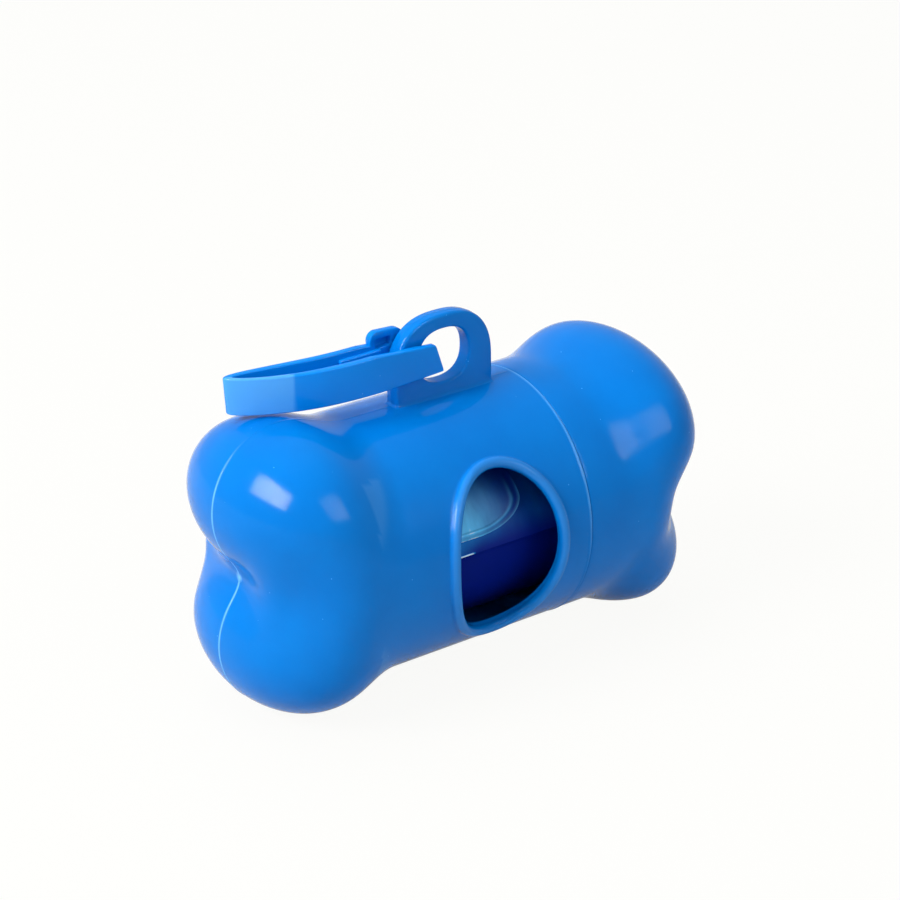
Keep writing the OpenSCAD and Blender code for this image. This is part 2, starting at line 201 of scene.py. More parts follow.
def boneDepth(x, y, z, end):
    r = hypot(y, z) - bone["shaftR"] + bone["shaftEndR"]
    s = x - bone["shaftEnd"] + bone["shaftEndR"]
    shaft = min(max(r, s), 0) + hypot(max(r, 0), max(s, 0)) - bone["shaftEndR"]
    # the valley between the lobes is shallower on the front
    blend = bone["notchBlend"] + end["fill"] * fade(0, bone["fillTo"], y)
    lobes = smoothMin(lobeDepth(x, y, z, end), lobeDepth(x, y, -z, end), blend)
    dent = end["dent"] * exp(-(y / bone["dentHalfY"]) ** 2 - ((z - end["dentZ"]) / bone["dentHalfZ"]) ** 2)
    return smoothMin(lobes, shaft, bone["shaftBlend"]) + dent


def reach(dx, dy, dz, end, depth):
    # how far a ray from inside the shaft goes before it comes within depth of the skin
    def isInside(t):
        return boneDepth(bone["rayX"] + dx * t, dy * t, dz * t, end) < -depth

    return sum(lastInside(isInside, bone["rayLow"], bone["rayHigh"], 17)) / 2


step = bone["columnStep"]
columns = sorted(
    [a for a in range(0, 360, step) if a not in (90, 270)]
    + [middle + turn for middle in (90, 270) for turn in bone["ridgeTurns"]]
)


def ridgeAt(angle):
    # the fine flash line that the mould's two halves leave along the top and bottom
    away = min(abs(angle - 90), abs(angle - 270))
    return bone["ridge"] * max(0.0, 1 - away / bone["ridgeTurn"])


def shaftRow(x, r, ridge=0.0):
    row = []
    for a in columns:
        high = r + ridge * ridgeAt(a)
        row.append((x, high * cos(radians(a)), high * sin(radians(a))))
    return row


outerR = bone["shaftR"] - bone["trim"]
innerR = bone["shaftR"] - bone["wall"]


def skinRows(end, depth, side):
    # rows from the notch to the shaft; side is -1 for the case's end and 1 for the cap's
    rows = []
    for i in range(bone["leanSteps"] - 1, -1, -1):
        lean = radians(90 * i / bone["leanSteps"])
        row = []
        for a in columns:
            dx, dy, dz = sin(lean), cos(lean) * cos(radians(a)), cos(lean) * sin(radians(a))
            t = reach(dx, dy, dz, end, depth)
            if depth == bone["trim"]:
                t += end["ridge"] * ridgeAt(a) * min(1.0, 4 * cos(lean))
            row.append((side * (bone["rayX"] + dx * t), dy * t, dz * t))
        rows.append(row)
    return rows


def notchPoint(end, depth, side):
    return (side * (bone["rayX"] + reach(1, 0, 0, end, depth)), 0, 0)


def closeNotch(bm, row, point):
    bmesh.ops.pointmerge(bm, verts=row, merge_co=point)


def linear(text):
    # sRGB hex to linear
    out = []
    for i in (1, 3, 5):
        v = int(text[i:i + 2], 16) / 255
        out.append(v / 12.92 if v <= 0.04045 else ((v + 0.055) / 1.055) ** 2.4)
    return (*out, 1.0)


def addNode(tree, kind, links=None, **settings):
    # links: input name -> output socket; settings: attributes, or inputs by name
    made = tree.nodes.new(kind)
    for key, value in settings.items():
        if hasattr(made, key):
            setattr(made, key, value)
        else:
            made.inputs[key.replace("_", " ")].default_value = value
    for key, socket in (links or {}).items():
        tree.links.new(socket, made.inputs[key])
    return made


def newMaterial(name):
    material = bpy.data.materials.new(name)
    material.use_nodes = True
    tree = material.node_tree
    tree.nodes.clear()
    return material, tree


def finishMaterial(tree, shader):
    addNode(tree, "ShaderNodeOutputMaterial", {"Surface": shader.outputs[0]})


def mouldedBlue(name, dark, pale, gloss, shine, waviness):
    # Moulded polyolefin: a deep, even blue with a soft gloss, faint waves where the wall shrank,
    # a few dust specks, and a paler blue where the attribute says: the mould's flash, painted highlights and
    # painted light.
    # A texture's scale is 1000 / the size of its features in millimetres.
    material, tree = newMaterial(name)
    place = addNode(tree, "ShaderNodeTexCoord").outputs["Object"]
    tint = addNode(tree, "ShaderNodeTexNoise", {"Vector": place}, Scale=1000 / 14, Detail=3)
    colour = addNode(tree, "ShaderNodeValToRGB", {"Fac": tint.outputs["Fac"]})
    colour.color_ramp.elements[0].position = 0.3
    colour.color_ramp.elements[0].color = linear(dark)
    colour.color_ramp.elements[1].position = 0.7
    colour.color_ramp.elements[1].color = linear(pale)
    specks = addNode(tree, "ShaderNodeTexVoronoi", {"Vector": place}, Scale=1000 / 2.6)
    speck = addNode(tree, "ShaderNodeMath", {0: specks.outputs["Distance"]}, operation="LESS_THAN")
    speck.inputs[1].default_value = 0.03
    dusty = addNode(tree, "ShaderNodeMix", {0: speck.outputs[0], 6: colour.outputs["Color"]}, data_type="RGBA")
    dusty.inputs[7].default_value = linear("#4fa6ec")
    flashAndPaintedLight = addNode(tree, "ShaderNodeAttribute", attribute_name="flashAndPaintedLight")
    flashAndLightMixed = addNode(tree, "ShaderNodeMix", {0: flashAndPaintedLight.outputs["Fac"], 6: dusty.outputs[2]}, data_type="RGBA")
    # the paler blue of the mould's flash, also used for painted highlights and painted light
    flashAndLightMixed.inputs[7].default_value = linear("#7cc6f6")
    dull = addNode(tree, "ShaderNodeTexNoise", {"Vector": place}, Scale=1000 / 6, Detail=4)
    rough = addNode(tree, "ShaderNodeMapRange", {"Value": dull.outputs["Fac"]})
    rough.inputs["To Min"].default_value = gloss
    rough.inputs["To Max"].default_value = gloss + 0.06
    waves = addNode(tree, "ShaderNodeTexNoise", {"Vector": place}, Scale=1000 / 9, Detail=2)
    bump = addNode(tree, "ShaderNodeBump", {"Height": waves.outputs["Fac"]}, Strength=waviness, Distance=0.0003)
    shader = addNode(tree, "ShaderNodeBsdfPrincipled", {
        "Base Color": flashAndLightMixed.outputs[2], "Roughness": rough.outputs["Result"], "Normal": bump.outputs["Normal"]},
        IOR=1.5, Specular_IOR_Level=shine)
    finishMaterial(tree, shader)
    return material


blowMouldedPolyethylene = mouldedBlue("blow_moulded_polyethylene", "#006abe", "#0072c8", 0.06, 0.1, 0.1)
mouldedPolypropylene = mouldedBlue("injection_moulded_polypropylene", "#0077d2", "#007edc", 0.06, 0.12, 0.06)


def filmMaterial(name, dark, pale, gloss, shine):
    # Blown low-density polyethylene film: thin soft layers, with painted light from the attribute: dark where it
    # is 0, paler with more and a painted glint at its top, blotched by creases a little longer round the roll
    # than along it.
    material, tree = newMaterial(name)
    place = addNode(tree, "ShaderNodeTexCoord").outputs["Object"]
    squeeze = addNode(tree, "ShaderNodeMapping", {"Vector": place})
    squeeze.inputs["Scale"].default_value = (1000 / 2.4, 1000 / 7, 1000 / 7)
    creases = addNode(tree, "ShaderNodeTexNoise", {"Vector": squeeze.outputs[0]}, Scale=1.0, Detail=5)
    paintedLight = addNode(tree, "ShaderNodeAttribute", attribute_name="paintedLight")
    varied = addNode(tree, "ShaderNodeMapRange", {"Value": creases.outputs["Fac"]})
    varied.inputs["From Min"].default_value = 0.3
    varied.inputs["From Max"].default_value = 0.7
    varied.inputs["To Min"].default_value = 0.66
    varied.inputs["To Max"].default_value = 1.1
    share = addNode(tree, "ShaderNodeMath", {0: varied.outputs["Result"], 1: paintedLight.outputs["Fac"]},
                    operation="MULTIPLY")
    colour = addNode(tree, "ShaderNodeValToRGB", {"Fac": share.outputs[0]})
    colour.color_ramp.elements[0].color = linear(dark)
    colour.color_ramp.elements[1].position = 0.9
    colour.color_ramp.elements[1].color = linear(pale)
    # the ramp's palest colour is a painted glint
    bright = colour.color_ramp.elements.new(1.0)  # a glint on a free edge
    bright.color = linear("#c4e2f6")
    bump = addNode(tree, "ShaderNodeBump", {"Height": creases.outputs["Fac"]}, Strength=0.1, Distance=0.0001)
    shader = addNode(tree, "ShaderNodeBsdfPrincipled", {
        "Base Color": colour.outputs["Color"], "Normal": bump.outputs["Normal"]},
        Roughness=gloss, IOR=1.5, Specular_IOR_Level=shine)
    finishMaterial(tree, shader)
    return material


# one navy film in three tones: the wound roll is a darker copy, as painted shade, and the two bags paler copies,
# as painted light
woundFilm = filmMaterial("wound_polyethylene_film_painted_shade", "#001878", "#062a86", 0.5, 0.02)
nextFilm = filmMaterial("folded_polyethylene_film_painted_light", "#001c80", "#149af4", 0.5, 0.03)
leadingFilm = filmMaterial("leading_polyethylene_film_painted_light", "#003090", "#5cc8ff", 0.45, 0.03)


def cardMaterial():
    # Spiral-wound brown card: matt and fibrous.
    material, tree = newMaterial("spiral_wound_card")
    place = addNode(tree, "ShaderNodeTexCoord").outputs["Object"]
    fibre = addNode(tree, "ShaderNodeTexNoise", {"Vector": place}, Scale=1000 / 0.8, Detail=6)
    colour = addNode(tree, "ShaderNodeValToRGB", {"Fac": fibre.outputs["Fac"]})
    colour.color_ramp.elements[0].color = linear("#a88a5e")
    colour.color_ramp.elements[1].color = linear("#d2b684")
    bump = addNode(tree, "ShaderNodeBump", {"Height": fibre.outputs["Fac"]}, Strength=0.4, Distance=0.0002)
    shader = addNode(tree, "ShaderNodeBsdfPrincipled", {
        "Base Color": colour.outputs["Color"], "Normal": bump.outputs["Normal"]}, Roughness=0.85)
    finishMaterial(tree, shader)
    return material


spiralWoundCard = cardMaterial()
print("materials made")


# The case is one blow moulding, from the notch of its end to the neck under the cap.
case = {
    "seamX": 13.6, "edgeR": 0.15, "lipH": 0.1, "lipFrom": 0.5, "lipMiddle": 0.36, "rowFrom": -15, "rowTo": 13,
    "neckR": 18.24, "boreR": 17.04, "boreX": (18, 15.5, 13.6), "neckEnd": 21.1, "shoulderX": 10.6,
    "beadX": (16.975, 19.975), "beadW": 2, "beadH": 0.25, "beadSteps": 8,
}
# paler paint on the case: the mould's flash on its end's parting line, a painted highlight on the lip at the
# mouth and painted light on the hole's rim
paleCase = {
    "line": 0.75, "lineHalf": 0.26, "lineX": -27, "lineZ": (14, 22),
    "lip": 0.4, "lipHalf": 0.25, "lipAway": 0.2, "lipZ": (-8, 6),
    "rim": 0.09, "rimUp": (0.1, 0.5), "rimX": -24, "rimZ": 16,
}
hole = {
    "x": -1.9, "turn": 89, "halfW": 10.2, "halfH": 14.8,
    "rimR": 0.85, "rimLift": -0.15, "fillet": 0.3, "patchSteps": 7, "beadSteps": 16, "beadEnd": 228,
    "inside": ((-0.52, -0.95), (-0.46, -1.12), (-0.3, -1.25)),
    "rowFrom": -15, "rowTo": 10, "columnFrom": 126, "columnTo": 232,
}


def holeEdge(t, r):
    turn = radians(hole["turn"]) - hole["halfH"] * sin(t) / bone["shaftR"]
    return Vector((hole["x"] + hole["halfW"] * cos(t), -r * sin(turn), r * cos(turn)))


def holeMiddle():
    turn = radians(hole["turn"])
    return Vector((hole["x"], -bone["shaftR"] * sin(turn), bone["shaftR"] * cos(turn)))


def rimPoint(t, aside, out, snapR=None):
    # aside points away from the hole's middle, out away from the bone's axis
    r = bone["shaftR"] + hole["rimLift"]
    p = holeEdge(t, r)
    ahead = (holeEdge(t + 0.01, r) - holeEdge(t - 0.01, r)).normalized()
    up = Vector((0, p.y, p.z)).normalized()
    away = ahead.cross(up)
    if (p + away - holeMiddle()).length < (p - away - holeMiddle()).length:
        away = -away
    q = p + up * out + away * aside
    if snapR:
        scale = snapR / hypot(q.y, q.z)
        q = Vector((q.x, q.y * scale, q.z * scale))
    return q


def between(a, b, share, r):
    # a point on the way from a to b along the tube of radius r
    angleA, angleB = (degrees(atan2(p[2], p[1])) % 360 for p in (a, b))
    x, angle = a[0] + (b[0] - a[0]) * share, radians(angleA + (angleB - angleA) * share)
    return (x, r * cos(angle), r * sin(angle))


def openHole(bm, outer, inner, xs):
    # takes the faces round the hole out of both walls and joins what is left over a rolled rim
    i0, i1 = xs.index(hole["rowFrom"]), xs.index(hole["rowTo"])
    j0, j1 = columns.index(hole["columnFrom"]), columns.index(hole["columnTo"])
    loops = []
    for grid in (outer, inner):
        path = ([(i0, j) for j in range(j0, j1)] + [(i, j1) for i in range(i0, i1)]
                + [(i1, j) for j in range(j1, j0, -1)] + [(i, j0) for i in range(i1, i0, -1)])
        loops.append([grid[i][j] for i, j in path])
        gone = []
        for i in range(i0, i1):
            for j in range(j0, j1):
                corners = (grid[i][j], grid[i][j + 1], grid[i + 1][j + 1], grid[i + 1][j])
                gone.append(bm.faces.get(corners))
        bmesh.ops.delete(bm, geom=gone, context="FACES")
    # where each vertex of the outer loop meets the rim
    middle, turns = holeMiddle(), []
    for vert in loops[0]:
        arc = radians(degrees(atan2(vert.co.z, vert.co.y)) % 360 - (90 + hole["turn"])) * bone["shaftR"]
        turns.append(atan2(-arc / hole["halfH"], (vert.co.x - middle.x) / hole["halfW"]))
    rimR, fillet = hole["rimR"], hole["fillet"]
    wallOut = outerR - bone["shaftR"] - hole["rimLift"]  # the wall's height beside the rim's centre
    reachF = sqrt((rimR + fillet) ** 2 - (fillet + wallOut) ** 2)
    meet = atan2(fillet + wallOut, reachF)
    wallEnd = [rimPoint(t, reachF, wallOut, outerR) for t in turns]
    backEnd = [rimPoint(t, *hole["inside"][-1], innerR) for t in turns]
    rings = []
    steps = hole["patchSteps"]
    for k in range(1, steps + 1):
        share = 1 - (1 - k / steps) ** 1.5
        rings.append([between(v.co, e, share, outerR) for v, e in zip(loops[0], wallEnd)])
    for k in range(1, 5):  # the fillet, from the wall up to the bead
        angle = -pi / 2 - (pi / 2 - meet) * k / 4
        aside, out = reachF + fillet * cos(angle), fillet + wallOut + fillet * sin(angle)
        rings.append([rimPoint(t, aside, out) for t in turns])
    for k in range(1, hole["beadSteps"] + 1):  # over the bead and round into the hole
        angle = meet + (radians(hole["beadEnd"]) - meet) * k / hole["beadSteps"]
        rings.append([rimPoint(t, rimR * cos(angle), rimR * sin(angle)) for t in turns])
    rings += [[rimPoint(t, aside, out) for t in turns] for aside, out in hole["inside"][:-1]]
    rings.append(backEnd)
    for k in range(1, 4):
        rings.append([between(e, v.co, k / 3, innerR) for v, e in zip(loops[1], backEnd)])
    loft(bm, rings, start=loops[0])


def flashAndPaintedLightAt(p):
    # paler paint: the mould's flash along the parting line of the case's end, fading out near its top; a painted
    # highlight on the lip at its mouth, stronger towards its top; painted light on the hole's rim
    line = lip = rim = 0.0
    r = hypot(p.y, p.z)
    if p.x < paleCase["lineX"]:
        line = max(0.0, 1 - abs(p.y) / paleCase["lineHalf"]) * (1 - fade(*paleCase["lineZ"], p.z))
    if r > bone["shaftR"] - paleCase["lipAway"]:
        lip = max(0.0, 1 - abs(p.x - case["seamX"] + paleCase["lipAway"]) / paleCase["lipHalf"])
        lip *= fade(*paleCase["lipZ"], p.z)
    if p.y < 0 and p.x > paleCase["rimX"] and p.z < paleCase["rimZ"]:
        rim = fade(*paleCase["rimUp"], r - bone["shaftR"])
    return max(paleCase["line"] * line, paleCase["lip"] * lip, paleCase["rim"] * rim)


def mouthProfile():
    # a fine flash stands at the mouth, and its edge is round
    seam, edge, lip = case["seamX"], case["edgeR"], outerR + case["lipH"]
    profile = [(seam - case["lipFrom"], outerR), (seam - case["lipMiddle"], outerR + case["lipH"] * 0.6),
               (seam - edge, lip)]
    for a in (30, 60, 90):
        profile.append((seam - edge + edge * sin(radians(a)), lip - edge + edge * cos(radians(a))))
    return profile


def neckProfile():
    # out along the neck with its two beads, round its end and back along the bore
    seam, neckR, boreR, neckEnd = case["seamX"], case["neckR"], case["boreR"], case["neckEnd"]
    shoulder, steps = case["shoulderX"], case["beadSteps"]
    profile = [(seam, neckR + 0.3), (seam + 0.02, neckR + 0.05), (seam + 0.3, neckR)]
    for x in case["beadX"]:
        for k in range(steps + 1):
            high = case["beadH"] * sin(pi * k / steps) ** 1.5
            profile.append((x + case["beadW"] * (k / steps - 0.5), neckR + high))
    profile += [(neckEnd - 0.4, neckR), (neckEnd - 0.12, neckR - 0.12), (neckEnd, neckR - 0.4),
                (neckEnd, boreR + 0.4), (neckEnd - 0.12, boreR + 0.12), (neckEnd - 0.4, boreR)]
    profile += [(x, boreR) for x in case["boreX"]]
    return profile + [(shoulder + 0.3, boreR), (shoulder, boreR + 0.3), (shoulder, innerR)]


def makeCase():
    bm = bmesh.new()
    xs = list(range(case["rowFrom"], case["rowTo"] + 1))
    outerEnd = skinRows(caseEnd, bone["trim"], -1)
    outerShaft = [shaftRow(x, outerR, 1) for x in xs]
    mouth = [shaftRow(x, r) for x, r in mouthProfile()]
    neckRows = [shaftRow(x, r) for x, r in neckProfile()]
    innerXs = [x for x in xs if x <= hole["rowTo"]]
    innerShaft = [shaftRow(x, innerR) for x in reversed(innerXs)]
    innerEnd = list(reversed(skinRows(caseEnd, bone["wall"], -1)))
    parts = [outerEnd, outerShaft, mouth, neckRows, innerShaft, innerEnd]
    rows = loft(bm, [row for part in parts for row in part])
    starts = [sum(len(p) for p in parts[:k]) for k in range(len(parts))]
    outer = rows[starts[1]:starts[1] + len(xs)]
    inner = list(reversed(rows[starts[4]:starts[4] + len(innerXs)]))
    openHole(bm, outer, inner, xs)
    closeNotch(bm, rows[0], notchPoint(caseEnd, bone["trim"], -1))
    closeNotch(bm, rows[-1], notchPoint(caseEnd, bone["wall"], -1))
    shell = makePiece("caseShell", bm, blowMouldedPolyethylene, "case", ("case_body",))
    paintPoints(shell, "flashAndPaintedLight", flashAndPaintedLightAt)
    return shell


makeCase()


# The cap is the other end of the bone, pushed on a little turned.
cap = {"seamGap": 0.07, "bandR": 18.55, "bandEnd": 21.6, "bandX": 17.5, "shaftX": (15, 14.5), "clear": 0.3}


def makeCap():
    bm = bmesh.new()
    edge = case["edgeR"]
    mouth = case["seamX"] + cap["seamGap"]
    bandR, bandEnd = cap["bandR"], cap["bandEnd"]
    profile = [(x, outerR) for x in cap["shaftX"]] + [(mouth + edge, outerR)]
    for a in (30, 60, 90):
        profile.append((mouth + edge - edge * sin(radians(a)), outerR - edge + edge * cos(radians(a))))
    profile += [(mouth, bandR + 0.2), (mouth + 0.06, bandR + 0.06), (mouth + 0.2, bandR),
                (cap["bandX"], bandR), (bandEnd, bandR)]
    rows = skinRows(capEnd, bone["trim"], 1) + [shaftRow(x, r) for x, r in profile]
    for row in reversed(skinRows(capEnd, bone["wall"], 1)):
        if min(p[0] for p in row) > bandEnd + cap["clear"]:
            rows.append(row)
    made = loft(bm, rows)
    closeNotch(bm, made[0], notchPoint(capEnd, bone["trim"], 1))
    closeNotch(bm, made[-1], notchPoint(capEnd, bone["wall"], 1))
    bmesh.ops.rotate(bm, verts=bm.verts, cent=(0, 0, 0), matrix=Matrix.Rotation(radians(capEnd["turn"]), 3, "X"))
    return makePiece("capShell", bm, blowMouldedPolyethylene, "cap", ("bone_cap",))


makeCap()


# The eye is a plate that stands in the mould's parting plane.
eye = {
    "t": 2.8, "halfW": 9, "top": 32.8, "z": 26.2, "holeHalfW": 4.6, "holeHalfH": 4.2,
    "platePower": 2.5, "holePower": 2.4, "root": 19.2, "steps": 120, "round": 0.55, "holeRound": 0.45,
    "flare": 0.7, "foot": 19.7, "cuts": (19.5, 19.6, 19.7, 19.78, 19.88, 20.0, 20.15, 20.4),
    "ridge": 0.06, "ridgeHalf": 0.2,
}


def insidePlate(x, z, inset):
    half, shoulder = eye["halfW"] - inset, eye["top"] - eye["halfW"]
    if z < shoulder:
        return abs(x) < half and z > eye["root"]
    return (abs(x) / half) ** eye["platePower"] + ((z - shoulder) / half) ** eye["platePower"] < 1


def plateLoop(y, inset):
    out = []
    for i in range(eye["steps"]):
        a = 2 * pi * i / eye["steps"]
        r = lastInside(lambda t: insidePlate(t * cos(a), eye["z"] + t * sin(a), inset), 0.0, 30.0, 18)[0]
        out.append((r * cos(a), y, eye["z"] + r * sin(a)))
    return out


def eyeHoleLoop(y, outset):
    out = []
    for i in range(eye["steps"]):
        a = 2 * pi * i / eye["steps"]
        r = superEllipse(a, eye["holeHalfW"] + outset, eye["holeHalfH"] + outset, eye["holePower"])
        out.append((r * cos(a), y, eye["z"] + r * sin(a)))
    return out


def makeEye():
    bm = bmesh.new()
    half, edge, holeEdge = eye["t"] / 2, eye["round"], eye["holeRound"]
    rows = []
    for side in (-1, 1):
        turns = range(0, 91, 15) if side < 0 else range(90, -1, -15)
        for a in turns:
            rows.append(plateLoop(side * (half - edge + edge * cos(radians(a))),
                                  eye["ridge"] + edge - edge * sin(radians(a))))
        if side < 0:
            ridge, ridgeHalf = eye["ridge"], eye["ridgeHalf"]
            rows += [plateLoop(-ridgeHalf, ridge), plateLoop(0, 0), plateLoop(ridgeHalf, ridge)]
    for side in (1, -1):
        turns = range(0, 91, 15) if side > 0 else range(90, -1, -15)
        for a in turns:
            rows.append(eyeHoleLoop(side * (half - holeEdge + holeEdge * cos(radians(a))),
                                    holeEdge - holeEdge * sin(radians(a))))
    rows.append(rows[0])
    loft(bm, rows)
    bmesh.ops.remove_doubles(bm, verts=bm.verts, dist=0.0005)
    for z in eye["cuts"]:
        geom = bm.verts[:] + bm.edges[:] + bm.faces[:]
        bmesh.ops.bisect_plane(bm, geom=geom, plane_co=(0, 0, z), plane_no=(0, 0, 1))
    flare = eye["flare"]
    for vert in bm.verts:  # the plate's foot spreads into the shell
        low = eye["foot"] + flare - vert.co.z
        if low > 0:
            spread = flare - sqrt(max(0.0, flare ** 2 - min(low, flare) ** 2))
            if abs(vert.co.y) > 0.5:
                vert.co.y += spread * (1 if vert.co.y > 0 else -1)
            if abs(vert.co.x) > eye["halfW"] - eye["ridge"] - edge - 0.01:
                vert.co.x += spread * (1 if vert.co.x > 0 else -1)
    return makePiece("eyePlate", bm, blowMouldedPolyethylene, "case")


makeEye()


# The strap clip is one band, folded back on itself at a living hinge. Its u runs from the eye to the
# fold, and its w up across the band.
strap = {
    "len": 33.4, "armEnd": 2.2, "low": -1.7, "top": 4.1, "t": 1.3, "fit": 0.35, "fall": 3.4, "drift": 0.28,
    "topFall": 0.11, "fallU": 13, "foldLen": 13, "joinU": 10.4, "rowGap": 0.6, "corner": 0.3,
    "slant": 1.6, "slantH": 5.8, "slantTo": 6, "tongueU": 2.3, "tongueW": 1.2, "tongueH": 2.6,
    # pale and the range after it paint a highlight on the free arm near the fold
    "partSlope": 0.25, "partY": -0.4, "partHalf": 0.06, "pale": 0.3, "highlightU": (25.4, 25.8),
}
armY = eye["t"] / 2 + strap["fit"] + strap["t"] / 2


def strapPoint(u, y, w):
    fall = radians(strap["fall"])
    return (-u * cos(fall) - w * sin(fall), y, eye["z"] + w * cos(fall) - u * sin(fall))


def driftAt(u):
    t = max(0.0, u - eye["halfW"])
    return strap["drift"] * t * t / (strap["len"] - eye["halfW"])


def bandTop(u):
    return strap["top"] - strap["topFall"] * max(0.0, strap["fallU"] - u)


def bandPairs():
    # inner and outer plan points of the band, from the fixed arm round the fold to the free arm's end
    taper, thick = strap["len"] - strap["foldLen"], strap["t"]
    inner, outer = armY - thick / 2, armY + thick / 2
    pairs = []
    u = strap["joinU"]
    while u < taper - strap["rowGap"] / 2:
        pairs.append(((u, driftAt(u) + inner), (u, driftAt(u) + outer)))
        u += strap["rowGap"]
    for k in range(0, 91):
        a = radians(2 * k)
        uo, ui = taper + strap["foldLen"] * sin(a), taper + (strap["foldLen"] - thick) * sin(a)
        pairs.append(((ui, driftAt(ui) + inner * cos(a)), (uo, driftAt(uo) + outer * cos(a))))
    u = taper - strap["rowGap"]
    while u > strap["armEnd"] - 0.01:
        pairs.append(((u, driftAt(u) - inner), (u, driftAt(u) - outer)))
        u -= strap["rowGap"]
    return pairs


def sectionLoop(a, b, low, high, corner, steps=4):
    # places round a rounded rectangle between the plan points a and b, from low to high
    thick = (b - a).length
    across = (b - a) / thick
    out = []
    for cx, cy, first in ((thick - corner, high - corner, 0), (corner, high - corner, 90),
                          (corner, low + corner, 180), (thick - corner, low + corner, 270)):
        for k in range(steps + 1):
            turn = radians(first + 90 * k / steps)
            plan = a + across * (cx + corner * cos(turn))
            out.append((plan, cy + corner * sin(turn)))
    return out


def sweepBand(bm, pairs, edges, corner, place, roundEnds=0.25):
    # edges(plan point) gives the low and high edges, place(plan point, height, station) each vertex
    rows = []
    for i, (a, b) in enumerate(pairs):
        a, b = Vector(a), Vector(b)
        low, high = edges((a + b) / 2)
        rows.append([Vector(place(plan, w, i)) for plan, w in sectionLoop(a, b, low, high, corner)])
    first, last = rows[0], rows[-1]
    for row, beside, front in ((first, rows[1], True), (last, rows[-2], False)):
        middle = sum(row, Vector()) / len(row)
        outward = (middle - sum(beside, Vector()) / len(beside)).normalized()
        for angle in (30, 60, 90):
            a = radians(angle)
            out = outward * roundEnds * sin(a)
            extra = [p + (middle - p).normalized() * roundEnds * (1 - cos(a)) + out for p in row]
            if front:
                rows.insert(0, extra)
            else:
                rows.append(extra)
    made = loft(bm, rows)
    capRow(bm, made[0])
    capRow(bm, made[-1])


def makeStrap():
    bm = bmesh.new()
    pairs = bandPairs()
    middle = len(pairs) / 2

    def edges(plan):
        return strap["low"], bandTop(plan.x)

    def place(plan, w, i):
        u = plan.x
        if i > middle:  # the free arm's end is cut on a slant
            near = max(0.0, min(1.0, (strap["slantTo"] - u) / (strap["slantTo"] - strap["armEnd"])))
            u += strap["slant"] * ((w - strap["low"]) / strap["slantH"] - 0.5) * near
        return strapPoint(u, plan.y, w)

    sweepBand(bm, pairs, edges, strap["corner"], place)
    band = makePiece("strapBand", bm, mouldedPolypropylene, None)
    # a plane between the two arms, at the fold, is worked out here but not used
    along = Vector(strapPoint(1, strap["partSlope"], 0)) - Vector(strapPoint(0, 0, 0))
    upward = Vector(strapPoint(0, 0, 1)) - Vector(strapPoint(0, 0, 0))
    facing = along.cross(upward).normalized()
    if facing.y > 0:
        facing = -facing
    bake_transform(band)
    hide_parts("clip_band", "clip_gate")

    def paintedHighlightAt(p):
        # painted highlight: the free arm is painted paler where it bends away from the fold
        return strap["pale"] * fade(*strap["highlightU"], -p.x) if p.y < driftAt(-p.x) else 0.0

    paintPoints(band, "flashAndPaintedLight", paintedHighlightAt)
    return band


makeStrap()


def makeTongue():
    bm = bmesh.new()
    u0, u1 = strap["tongueU"], strap["tongueU"] + strap["tongueW"]
    y0 = -armY
    y1 = y0 + 2 * armY - strap["t"] / 2 - strap["fit"]
    bmesh.ops.create_cube(bm, size=1)
    bmesh.ops.scale(bm, verts=bm.verts, vec=(u1 - u0, y1 - y0, strap["tongueH"]))
    bmesh.ops.bevel(bm, geom=bm.edges[:], offset=0.25, segments=3, profile=0.5, affect="EDGES", material=-1)
    for vert in bm.verts:
        vert.co = strapPoint(vert.co.x + (u0 + u1) / 2, vert.co.y + (y0 + y1) / 2, vert.co.z)
    return makePiece("strapTongue", bm, mouldedPolypropylene, "gate")


makeTongue()


# The thumb tab stands on the end of the fixed arm, and has a blind pocket in its front.
tab = {
    "u": 4.9, "len": 6.2, "h": 2, "corner": 1.6, "post": 1, "footLen": 2, "round": 0.28, "proud": 0.02,
    "pocketLen": 2.7, "pocketH": 1.4, "pocketPower": 6, "web": 0.2, "steps": 96, "probes": 60,
}
tabEnd = tab["u"] + tab["len"]
pocketMiddle = (tabEnd - tab["post"] - tab["pocketLen"] / 2, bandTop(tabEnd - tab["post"]))


def insideEnd(u, w, inset):
    # side outline of the fixed arm's end: the arm, and the thumb tab on it with rounded corners
    if not (strap["armEnd"] + inset < u < tabEnd - inset and strap["low"] + inset < w):
        return False
    if w < bandTop(u) - inset and u < tab["u"] + tab["corner"] + tab["footLen"]:
        return True
    if u < tab["u"] + inset:
        return False
    top, corner = bandTop(u) + tab["h"] - inset, tab["corner"] - inset
    if w > top:
        return False
    for middle in (tab["u"] + tab["corner"], tabEnd - tab["corner"]):
        beyond = (u - middle) * (1 if middle > tab["u"] + tab["len"] / 2 else -1)
        if beyond > 0 and w > top - corner and hypot(beyond, w - top + corner) > corner:
            return False
    return True


def aroundPocket(a, r):
    return pocketMiddle[0] + r * cos(a), pocketMiddle[1] + r * sin(a)


def endLoop(inset, y):
    out = []
    count, furthest = tab["probes"], 12.0
    for i in range(tab["steps"]):
        a = 2 * pi * i / tab["steps"]
        k = 1  # steps outward to the outline's first crossing, then closes in on it
        while k < count and insideEnd(*aroundPocket(a, furthest * k / count), inset):
            k += 1
        low, high = furthest * (k - 1) / count, furthest * k / count
        r = lastInside(lambda t: insideEnd(*aroundPocket(a, t), inset), low, high, 14)[0]
        u, w = aroundPocket(a, r)
        out.append(strapPoint(u, y, w))
    return out


def pocketLoop(outset, y):
    out = []
    for i in range(tab["steps"]):
        a = 2 * pi * i / tab["steps"]
        r = superEllipse(a, tab["pocketLen"] / 2 + outset, tab["pocketH"] / 2 + outset, tab["pocketPower"])
        u, w = aroundPocket(a, r)
        out.append(strapPoint(u, y, w))
    return out


